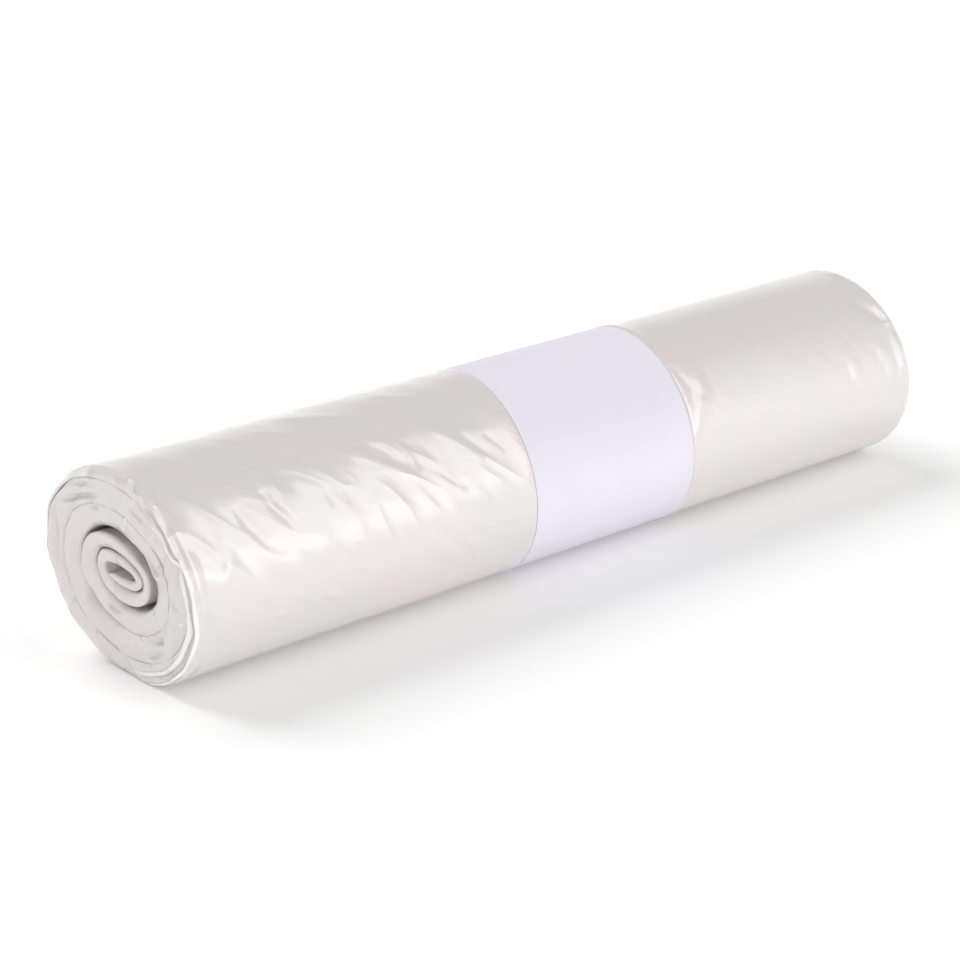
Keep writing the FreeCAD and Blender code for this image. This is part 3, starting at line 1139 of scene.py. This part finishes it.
class Effects:
    """Builds each shared effect once and places it in materials.

    Fades along the roll and under its skin are in metres, and fades round it in radians up
    from the front.
    """

    NEAR_CALM = Fade(-0.14, -0.11, 0.45, 1.0)
    BAND_CALM = Fade(-0.045, 0.02, 1.0, 0.10)
    LOW_CALM = Fade(-0.7, 0.4, 0.15, 1.0)
    TOP_CALM = Fade(0.95, 1.25, 1.0, 0.12)
    BACK_STIR = Fade(1.7, 2.5, 0.0, 0.5)
    NEAR_END = Fade(-0.1465, -0.1435, 1.0, 0.0)
    NEAR_SLOPE = 0.143
    FAR_END = Fade(0.1455, 0.1495, 0.0, 1.0)
    # Where the painted highlights on the near rim's plies lie, and the size and fade of its
    # painted glints.
    WANDER_SCALE = 60.0
    WANDER = 0.0018
    HALF_PERIOD = 0.0016
    PLY_EDGE = Fade(0.0006, 0.0012, 0.0, 1.0)
    PLY_FADES = (Fade(0.0001, 0.0005, 0.0, 1.0), Fade(0.0050, 0.0062, 1.0, 0.0))
    PLY_TURN_FADES = (Fade(-1.5, -1.1, 0.0, 1.0), Fade(0.8, 1.2, 1.0, 0.0))
    PAINTED_GLINT_SCALE = 230.0
    PAINTED_GLINT = Fade(0.68, 0.78, 0.0, 0.8)

    def __init__(self) -> None:
        """Build the groups."""
        self.groups = {
            Effect.MOTTLE: self.mottle(),
            Effect.GRAIN: self.grain(),
            Effect.CRINKLE: self.crinkle(),
            Effect.PLY_HIGHLIGHTS: self.plies(),
        }

    def mottle(self) -> Tree:
        """Two colours that drift into each other over the surface.

        Returns:
            The group, which puts out a colour.
        """
        inputs = {"Scale": Carries.NUMBER, "First": Carries.COLOUR, "Second": Carries.COLOUR}
        group = Group(Effect.MOTTLE, inputs, "Color", Carries.COLOUR)
        shape = {"Detail": 3.0, "Roughness": 0.55}
        noise = group.noise(group.place(), group.take("Scale"), shape)
        spread = group.add("MapRange", {"Value": noise, "From Min": 0.38, "From Max": 0.62})
        shares = {"Factor": spread.outputs["Result"]}
        colours = {"A": group.take("First"), "B": group.take("Second")}
        mix = group.add("Mix", {**shares, **colours}, data_type="RGBA")
        return group.give(mix.outputs["Result"])

    def grain(self) -> Tree:
        """Fine grain, stretched by the inputs along each axis.

        Returns:
            The group, which puts out a height for a bump.
        """
        inputs = {"Stretch": Carries.VECTOR, "Scale": Carries.NUMBER}
        group = Group(Effect.GRAIN, inputs, "Height", Carries.NUMBER)
        place = group.vector("MULTIPLY", group.place(), group.take("Stretch"))
        return group.give(group.noise(place, group.take("Scale"), {"Detail": 4.0}))

    def crinkle(self) -> Tree:
        """Sharp folds of film: askew over the unrolled wall, every way over the two ends.

        The wall's folds follow the place along the roll and the arc round it, turned by Slant.
        They are liveliest on the near front, and nearly absent on top and past the band.

        Returns:
            The group, which puts out a height for a bump.
        """
        inputs = {
            "Middle": Carries.VECTOR,
            "Radius": Carries.NUMBER,
            "Slant": Carries.NUMBER,
            "Wall Size": Carries.VECTOR,
            "End Size": Carries.VECTOR,
            "End Share": Carries.NUMBER,
        }
        group = Group(Effect.CRINKLE, inputs, "Height", Carries.NUMBER)
        x, y, z = group.parts(group.vector("SUBTRACT", group.place(), group.take("Middle")))
        turn = group.math("ARCTAN2", z, group.math("MULTIPLY", y, -1.0))
        unrolled = group.joined(x, group.math("MULTIPLY", turn, group.take("Radius")))
        slanted = group.add(
            "VectorRotate", {"Vector": unrolled, "Angle": group.take("Slant")},
            rotation_type="Z_AXIS",
        )
        wall = group.ridges(slanted.outputs["Vector"], group.take("Wall Size"))
        along = [group.fade(x, fade) for fade in (self.NEAR_CALM, self.BAND_CALM)]
        around = [group.fade(turn, fade) for fade in (self.LOW_CALM, self.TOP_CALM)]
        back = group.fade(group.math("ABSOLUTE", turn), self.BACK_STIR)
        share = group.math("MAXIMUM", group.product(along + around), back)
        wall = group.math("MULTIPLY", wall, share)
        end = group.ridges(group.joined(y, z), group.take("End Size"))
        end = group.math("MULTIPLY", end, group.take("End Share"))
        ends = group.math("MAXIMUM", self.near_end(group, x, y), group.fade(x, self.FAR_END))
        mix = group.add("Mix", {"Factor": ends, "A": wall, "B": end})
        return group.give(mix.outputs["Result"])

    def plies(self) -> Tree:
        """Painted highlights on the thin plies at the near end's front rim, and painted glints on
        its folds.

        Returns:
            The group, which puts out the mask of the painted highlights.
        """
        inputs = {
            "Middle": Carries.VECTOR,
            "Half Size": Carries.VECTOR,
            "Lean": Carries.NUMBER,
            "Radius": Carries.NUMBER,
        }
        group = Group(Effect.PLY_HIGHLIGHTS, inputs, "Mask", Carries.NUMBER)
        from_middle = group.vector("SUBTRACT", group.place(), group.take("Middle"))
        x, y, z = group.parts(from_middle)
        level = group.add(
            "VectorRotate", {"Vector": from_middle, "Angle": group.take("Lean")},
            rotation_type="X_AXIS",
        )
        sized = group.vector("DIVIDE", level.outputs["Vector"], group.take("Half Size"))
        wide, high = (group.math("MULTIPLY", part, part) for part in group.parts(sized)[1:])
        reach = group.math("SQRT", group.math("ADD", wide, high))
        depth = group.math("ADD", group.math("MULTIPLY", reach, -1.0), 1.0)
        depth = group.math("MULTIPLY", depth, group.take("Radius"))
        noise = group.noise(group.place(), self.WANDER_SCALE, {})
        wander = group.math("MULTIPLY", noise, self.WANDER)
        wave = group.math("PINGPONG", group.math("ADD", depth, wander), self.HALF_PERIOD)
        turn = group.math("ARCTAN2", z, group.math("MULTIPLY", y, -1.0))
        # The ply ridges are painted pale: partly the film's whiter overlapping edges, partly
        # painted highlight.
        fades = [group.fade(wave, self.PLY_EDGE)]
        fades += [group.fade(depth, fade) for fade in self.PLY_FADES]
        fades += [group.fade(turn, fade) for fade in self.PLY_TURN_FADES]
        # Painted glints: sparse noise specks on the near end's folds that are painted pale.
        painted_glint_noise = group.noise(group.place(), self.PAINTED_GLINT_SCALE, {"Detail": 1.0, "Distortion": 0.6})
        painted_highlight_mask = group.math("MAXIMUM", group.product(fades), group.fade(painted_glint_noise, self.PAINTED_GLINT))
        return group.give(group.math("MULTIPLY", painted_highlight_mask, self.near_end(group, x, y)))

    def near_end(self, group: Group, x: Socket, y: Socket) -> Socket:
        """Mask of the near end, whose face stands askew."""
        place = group.math("ADD", x, group.math("MULTIPLY", y, self.NEAR_SLOPE))
        return group.fade(place, self.NEAR_END)

    def place(self, graph: Graph, effect: Effect, inputs: Inputs) -> Socket:
        """Put an effect's group in a material, and return the group's output."""
        return graph.add("Group", inputs, node_tree=self.groups[effect]).outputs[0]


@dataclass(frozen=True)
class Finish:
    """A finish of the roll: two drifting colours, gloss, a fine grain in relief, and, with
    crinkles, painted highlights on the near end's plies and glints.

    Grain, crinkles and plies have their heights in millimetres, and the crinkles' sizes on
    the wall and on the ends are in metres.
    """

    name: str
    first: Colour
    second: Colour
    mottle_scale: float
    roughness: float
    ior: float
    coat: float
    coat_roughness: float
    grain_scale: float
    grain_stretch: Triple
    grain_height: float
    grain_strength: float
    crinkle_height: float = 0.0
    crinkle_slant: float = 46.0
    wall_size: Triple = (0.032, 0.0115, 1.0)
    end_size: Triple = (0.011, 0.015, 1.0)
    end_share: float = 1.5
    ply_height: float = 0.45
    # Colour painted on the near end's ply ridges and glints: partly their whiter overlapping
    # film, partly painted highlight.
    pale: Colour = (0.95, 0.92, 0.91)

    def material(self, effects: Effects) -> bpy.types.Material:
        """Make the material.

        Args:
            effects: The shared effects.

        Returns:
            The material.
        """
        material = bpy.data.materials.new(self.name)
        material.use_nodes = True
        graph = Graph(material.node_tree)
        colours = {"First": (*self.first, 1.0), "Second": (*self.second, 1.0)}
        colour = effects.place(graph, Effect.MOTTLE, {"Scale": self.mottle_scale, **colours})
        size = {"Scale": self.grain_scale, "Stretch": self.grain_stretch}
        relief = {
            "Strength": self.grain_strength,
            "Distance": self.grain_height * MM,
            "Height": effects.place(graph, Effect.GRAIN, size),
        }
        if self.crinkle_height:
            colour, relief["Normal"] = self.crumple(graph, effects, colour)
        look = {
            "Base Color": colour,
            "Roughness": self.roughness,
            "IOR": self.ior,
            "Coat Weight": self.coat,
            "Coat Roughness": self.coat_roughness,
            "Normal": graph.add("Bump", relief).outputs["Normal"],
        }
        graph.feed(graph.tree.nodes["Principled BSDF"], look)
        return material

    def crumple(self, graph: Graph, effects: Effects, colour: Socket) -> tuple[Socket, Socket]:
        """Add the film's crinkles, its ply ridges, and the painted highlights on them and on the
        near end's glints.

        Args:
            graph: The material's nodes.
            effects: The shared effects.
            colour: The film's colour without them.

        Returns:
            The colour with the plies in it, and the normal with crinkles and plies.
        """
        section = Section()
        roll = {"Middle": (0.0, 0.0, section.centre * MM), "Radius": MEAN_RADIUS * MM}
        oval = {
            "Half Size": (1.0, section.oval_long / 2.0 * MM, section.oval_short / 2.0 * MM),
            "Lean": -math.radians(section.oval_lean),
        }
        folds = {
            "Slant": math.radians(self.crinkle_slant),
            "Wall Size": self.wall_size,
            "End Size": self.end_size,
            "End Share": self.end_share,
        }
        painted_highlight_mask = effects.place(graph, Effect.PLY_HIGHLIGHTS, roll | oval)
        ply = graph.add("Bump", {"Distance": self.ply_height * MM, "Height": painted_highlight_mask})
        relief = {
            "Distance": self.crinkle_height * MM,
            "Height": effects.place(graph, Effect.CRINKLE, roll | folds),
            "Normal": ply.outputs["Normal"],
        }
        # Painted highlight: the pale colour goes over the near end's ply ridges, partly as their
        # whiter overlapping film, and over its glints.
        colours = {"Factor": painted_highlight_mask, "A": colour, "B": (*self.pale, 1.0)}
        pale = graph.add("Mix", colours, data_type="RGBA").outputs["Result"]
        return pale, graph.add("Bump", relief).outputs["Normal"]


FILM = Finish(
    name="milky film",
    first=(0.72, 0.65, 0.648),
    second=(0.68, 0.66, 0.642),
    mottle_scale=45.0,
    roughness=0.27,
    ior=2.35,
    coat=0.55,
    coat_roughness=0.10,
    grain_scale=120.0,
    grain_stretch=(1.0, 1.0, 1.0),
    grain_height=0.25,
    grain_strength=0.35,
    crinkle_height=0.45,
)
PAPER = Finish(
    name="white paper",
    first=(0.745, 0.722, 0.80),
    second=(0.755, 0.732, 0.81),
    mottle_scale=40.0,
    roughness=0.85,
    ior=1.4,
    coat=0.0,
    coat_roughness=0.5,
    grain_scale=900.0,
    grain_stretch=(1.0, 0.5, 0.5),
    grain_height=0.04,
    grain_strength=0.3,
)


def stand(name: str, data: bpy.types.ID, place: Triple, target: Triple) -> bpy.types.Object:
    """Put a lamp or the camera in the scene, turned to a target.

    Args:
        name: Its name.
        data: The lamp's or camera's own data.
        place: Where it stands, in metres.
        target: Where it looks, in metres.

    Returns:
        The object.
    """
    thing = show(name, data)
    thing.location = place
    way = Vector(target) - Vector(place)
    thing.rotation_euler = way.to_track_quat("-Z", "Y").to_euler()
    return thing


@dataclass(frozen=True)
class Softbox:
    """A rectangular lamp given by its middle, its target and its sides, in metres."""

    name: str
    middle: Triple
    target: Triple
    wide: float
    high: float
    radiance: float
    mirrored: bool = False

    def build(self) -> None:
        """Make the lamp, its wide side level."""
        data = bpy.data.lights.new(self.name, "AREA")
        data.shape = "RECTANGLE"
        data.size = self.wide
        data.size_y = self.high
        data.energy = self.radiance * math.pi * self.wide * self.high
        lamp = stand(self.name, data, self.middle, self.target)
        lamp.visible_camera = False
        lamp.visible_glossy = self.mirrored


@dataclass
class Studio:
    """Plain pale floor, soft light and the camera, in metres."""

    sky: Fade = Fade(0.08, 0.60, 1.02, 0.41)
    floor_colour: float = 0.93
    floor_half: float = 1.4
    floor_glow: Fade = Fade(0.45, 1.4, 0.11, 0.6)
    camera_place: Triple = (-0.4674, -0.5397, 0.3058)
    camera_target: Triple = (-0.0148, 0.0, 0.0261)
    lens: float = 90.0
    sensor: float = 36.0
    seen_from: float = 0.01
    seen_to: float = 30.0
    boxes: tuple[Softbox, ...] = (
        Softbox("front softbox", (1.7, -2.235, 2.007), (1.7, 0.095, 0.117), 2.1, 3.9, 1.38, True),
        Softbox("low softbox", (-0.2, -2.0, 0.30), (-0.1, 0.0, 0.05), 3.0, 0.6, 2.5),
        Softbox("back softbox", (-0.36, 1.5, 1.7), (0.0, 0.0, 0.0), 1.4, 1.4, 5.0),
    )

    def floor(self) -> bpy.types.Object:
        """Make the floor: seen straight on it glows enough to be white where nothing shades it.

        Returns:
            The floor.
        """
        half = self.floor_half
        corners = [(-half, -half, 0.0), (half, -half, 0.0), (half, half, 0.0), (-half, half, 0.0)]
        mesh = bpy.data.meshes.new("floor")
        mesh.from_pydata(corners, [], [(0, 1, 2, 3)])
        material = bpy.data.materials.new("white floor")
        material.use_nodes = True
        graph = Graph(material.node_tree)
        graph.tree.nodes.clear()
        rays = graph.add("LightPath", {}).outputs
        seen = graph.math("MAXIMUM", rays["Is Camera Ray"], rays["Is Glossy Ray"])
        seen = graph.math("MAXIMUM", seen, rays["Is Transmission Ray"])
        away = graph.add("VectorMath", {0: graph.place()}, operation="LENGTH").outputs["Value"]
        level = graph.math("MULTIPLY", seen, graph.fade(away, self.floor_glow))
        matt = graph.add("BsdfDiffuse", {"Color": (*(self.floor_colour,) * 3, 1.0)})
        glow = graph.add("Emission", {"Strength": level})
        both = graph.add("AddShader", {0: matt.outputs["BSDF"], 1: glow.outputs["Emission"]})
        graph.add("OutputMaterial", {"Surface": both.outputs["Shader"]})
        mesh.materials.append(material)
        return show("floor", mesh)

    def world(self) -> None:
        """Give the world a plain level that pales to white at the horizon."""
        world = bpy.data.worlds.new("studio")
        world.use_nodes = True
        graph = Graph(world.node_tree)
        height = graph.parts(graph.add("TexCoord", {}).outputs["Generated"])[2]
        white = {"Color": (1.0, 1.0, 1.0, 1.0), "Strength": graph.fade(height, self.sky)}
        graph.feed(graph.tree.nodes["Background"], white)
        bpy.context.scene.world = world

    def camera(self) -> None:
        """Put the camera at the photograph's place."""
        data = bpy.data.cameras.new("camera")
        data.lens = self.lens
        data.sensor_width = self.sensor
        data.clip_start = self.seen_from
        data.clip_end = self.seen_to
        camera = stand("camera", data, self.camera_place, self.camera_target)
        bpy.context.scene.camera = camera

    def build(self) -> None:
        """Make the floor, the light and the camera."""
        self.floor()
        self.world()
        for box in self.boxes:
            box.build()
        self.camera()
        bpy.context.scene.view_settings.view_transform = "Standard"


def dress(piece: bpy.types.Object, node: str, material: bpy.types.Material) -> None:
    """Give a piece its finish and put it in its node's place.

    Args:
        piece: The piece.
        node: The node that it stands for.
        material: Its finish.
    """
    piece.data.materials.append(material)
    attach(piece, ROOT)
    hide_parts(node)
    triangles = sum(len(face.vertices) - 2 for face in piece.data.polygons)
    LOG.info("%s stands for %s, %d triangles", piece.name, node, triangles)


def main() -> None:
    """Build the roll, its band and the studio."""
    logging.basicConfig(level=logging.INFO)
    section, band, effects = Section(), BandPlace(), Effects()
    dress(FilmRoll(section, band).build(), "bag_roll", FILM.material(effects))
    dress(PaperBand(section, band).build(), "paper_band", PAPER.material(effects))
    Studio().build()


if __name__ == "__main__":
    main()
